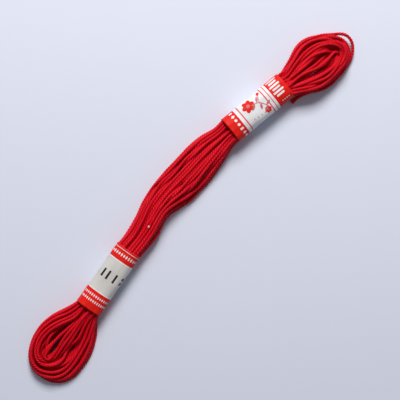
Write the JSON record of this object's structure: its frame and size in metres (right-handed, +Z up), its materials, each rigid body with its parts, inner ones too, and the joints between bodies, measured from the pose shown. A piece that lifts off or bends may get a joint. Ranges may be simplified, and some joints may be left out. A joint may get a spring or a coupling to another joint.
{
  "type": "skein of embroidery floss",
  "caption": "Long looped skein of red embroidery floss held by two paper bands, an open loop at each end; it lies flat on a surface.",
  "frame": {"origin": "on the table, under the middle of the skein's bounding box", "axes": "+X along the skein towards the tip loop, +Z up from the table, +Y towards the side that the belly bows to"},
  "size_m": [0.165, 0.0252, 0.0076],
  "materials": {
    "red_floss": "mercerised cotton, soft sheen",
    "colour_paper": "smooth printed paper, red and pale grey",
    "label_paper": "smooth printed paper, red and white"
  },
  "bodies": {
    "root": {"floss_skein": "red_floss", "stray_loop": "red_floss", "thread_tail": "red_floss", "colour_band": "colour_paper", "label_band": "label_paper"}
  },
  "joints": []
}
